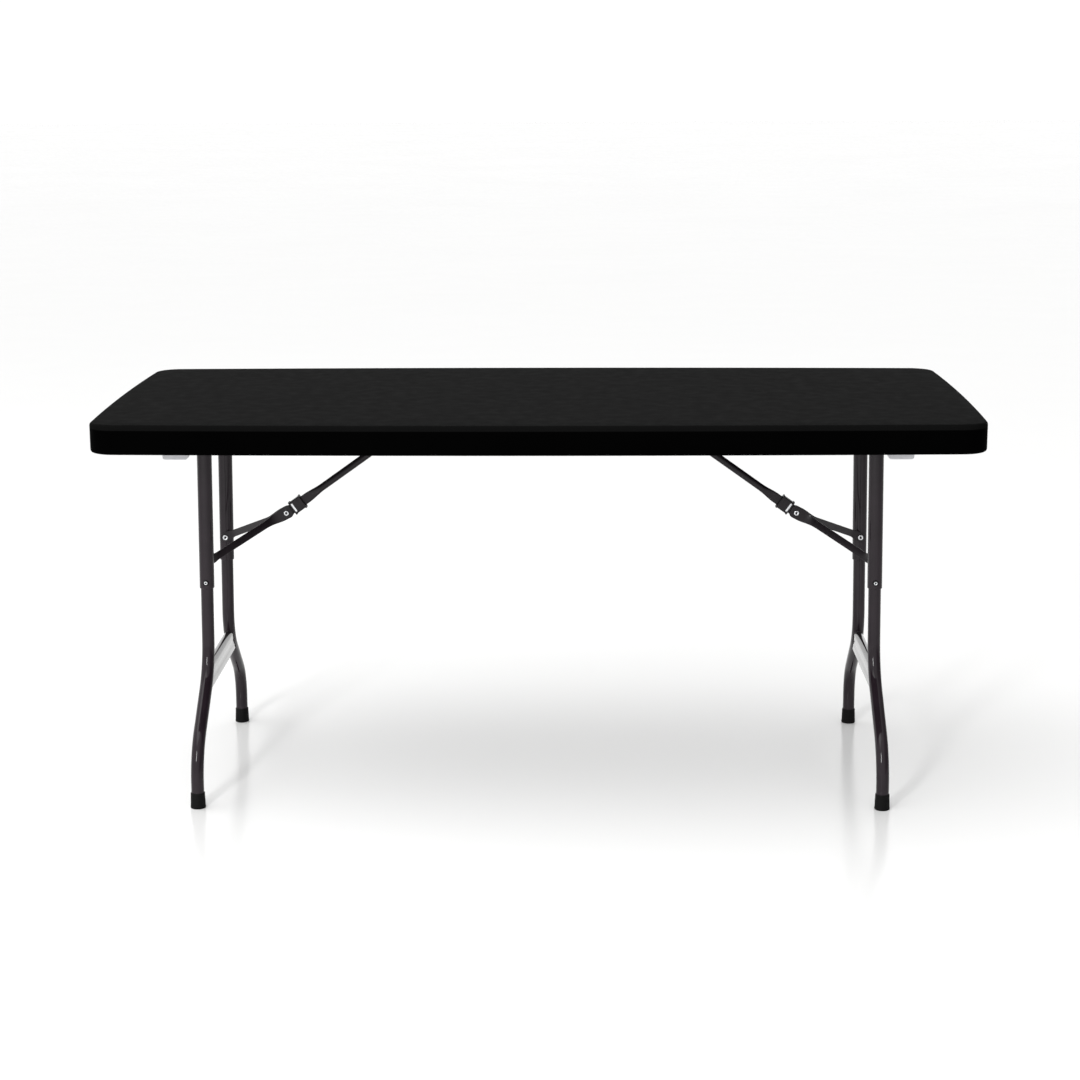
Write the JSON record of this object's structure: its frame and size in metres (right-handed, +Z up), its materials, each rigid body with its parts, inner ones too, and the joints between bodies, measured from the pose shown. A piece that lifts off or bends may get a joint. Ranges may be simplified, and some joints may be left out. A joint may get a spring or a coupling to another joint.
{
  "type": "folding table",
  "caption": "Rectangular folding table: a moulded plastic top over splayed steel leg sets that fold flat under it, each held by a jointed brace with a sliding lock ring.",
  "frame": {"origin": "on the floor, under the middle of the table top", "axes": "+X along the length of the table, -Y the front long side, +Z up"},
  "size_m": [1.62, 0.762, 0.74],
  "materials": {
    "moulded_top": "textured moulded plastic, satin",
    "leg_paint": "gloss powder coat, warm charcoal",
    "brace_paint": "satin black powder coat",
    "zinc": "bright zinc plate",
    "rubber": "matt moulded rubber",
    "grey_plastic": "plain moulded nylon, light grey",
    "black_plastic": "plain moulded plastic, satin black"
  },
  "bodies": {
    "table": {"table_top": "moulded_top", "front_rail": "brace_paint", "back_rail": "brace_paint", "rail_screw_front_left": "zinc", "rail_screw_back_left": "zinc", "rail_screw_front_right": "zinc", "rail_screw_back_right": "zinc", "left_front_pivot_block": "grey_plastic", "left_front_block_screw": "zinc", "left_back_pivot_block": "grey_plastic", "left_back_block_screw": "zinc", "left_brace_bracket": "brace_paint", "left_brace_pin": "zinc", "left_leg_clip": "black_plastic", "right_front_pivot_block": "grey_plastic", "right_front_block_screw": "zinc", "right_back_pivot_block": "grey_plastic", "right_back_block_screw": "zinc", "right_brace_bracket": "brace_paint", "right_brace_pin": "zinc", "right_leg_clip": "black_plastic"},
    "left_leg_set": {"left_front_sleeve": "leg_paint", "left_front_lower_tube": "leg_paint", "left_front_foot_cap": "rubber", "left_front_sleeve_rivet": "zinc", "left_back_sleeve": "leg_paint", "left_back_lower_tube": "leg_paint", "left_back_foot_cap": "rubber", "left_back_sleeve_rivet": "zinc", "left_pivot_tube": "leg_paint", "left_crossbar": "leg_paint"},
    "left_arm": {"left_upper_arm": "brace_paint"},
    "left_ring": {"left_lock_ring": "brace_paint", "left_ring_spring": "zinc"},
    "left_fork": {"left_front_strut": "brace_paint", "left_front_strut_bolt": "zinc", "left_back_strut": "brace_paint", "left_back_strut_bolt": "zinc", "left_knee_rivet": "zinc"},
    "right_leg_set": {"right_front_sleeve": "leg_paint", "right_front_lower_tube": "leg_paint", "right_front_foot_cap": "rubber", "right_front_sleeve_rivet": "zinc", "right_back_sleeve": "leg_paint", "right_back_lower_tube": "leg_paint", "right_back_foot_cap": "rubber", "right_back_sleeve_rivet": "zinc", "right_pivot_tube": "leg_paint", "right_crossbar": "leg_paint"},
    "right_arm": {"right_upper_arm": "brace_paint"},
    "right_ring": {"right_lock_ring": "brace_paint", "right_ring_spring": "zinc"},
    "right_fork": {"right_front_strut": "brace_paint", "right_front_strut_bolt": "zinc", "right_back_strut": "brace_paint", "right_back_strut_bolt": "zinc", "right_knee_rivet": "zinc"}
  },
  "joints": [
    {"name": "left_leg_fold", "type": "hinge", "parent": "table", "child": "left_leg_set", "pos_m": [-0.653, 0, 0.6855], "axis": [0, -1, 0], "range_deg": [0, 90]},
    {"name": "left_arm_swing", "type": "hinge", "parent": "table", "child": "left_arm", "pos_m": [-0.2172, 0, 0.707], "axis": [0, 1, 0], "range_deg": [0, 34.35]},
    {"name": "left_knee", "type": "hinge", "parent": "left_arm", "child": "left_fork", "pos_m": [-0.4962, 0, 0.508], "axis": [0, -1, 0], "range_deg": [0, 187.93]},
    {"name": "left_ring_slide", "type": "slide", "parent": "left_arm", "child": "left_ring", "axis": [0.8141, 0, 0.5807], "range_m": [0, 0.0261]},
    {"name": "right_leg_fold", "type": "hinge", "parent": "table", "child": "right_leg_set", "pos_m": [0.653, 0, 0.6855], "axis": [0, 1, 0], "range_deg": [0, 87.3]},
    {"name": "right_arm_swing", "type": "hinge", "parent": "table", "child": "right_arm", "pos_m": [0.2172, 0, 0.707], "axis": [0, -1, 0], "range_deg": [0, 30.69]},
    {"name": "right_knee", "type": "hinge", "parent": "right_arm", "child": "right_fork", "pos_m": [0.4962, 0, 0.508], "axis": [0, 1, 0], "range_deg": [0, 187.93]},
    {"name": "right_ring_slide", "type": "slide", "parent": "right_arm", "child": "right_ring", "axis": [-0.8141, 0, 0.5807], "range_m": [0, 0.0261]}
  ],
  "couplings": [
    {"joint": "left_arm_swing", "follows": "left_leg_fold", "ratio": 0.38111},
    {"joint": "left_knee", "follows": "left_leg_fold", "ratio": 2.087},
    {"joint": "left_ring_slide", "follows": "left_leg_fold", "m_per_rad": 0.016552},
    {"joint": "right_arm_swing", "follows": "right_leg_fold", "ratio": 0.35097},
    {"joint": "right_knee", "follows": "right_leg_fold", "ratio": 2.1515},
    {"joint": "right_ring_slide", "follows": "right_leg_fold", "m_per_rad": 0.017064}
  ]
}
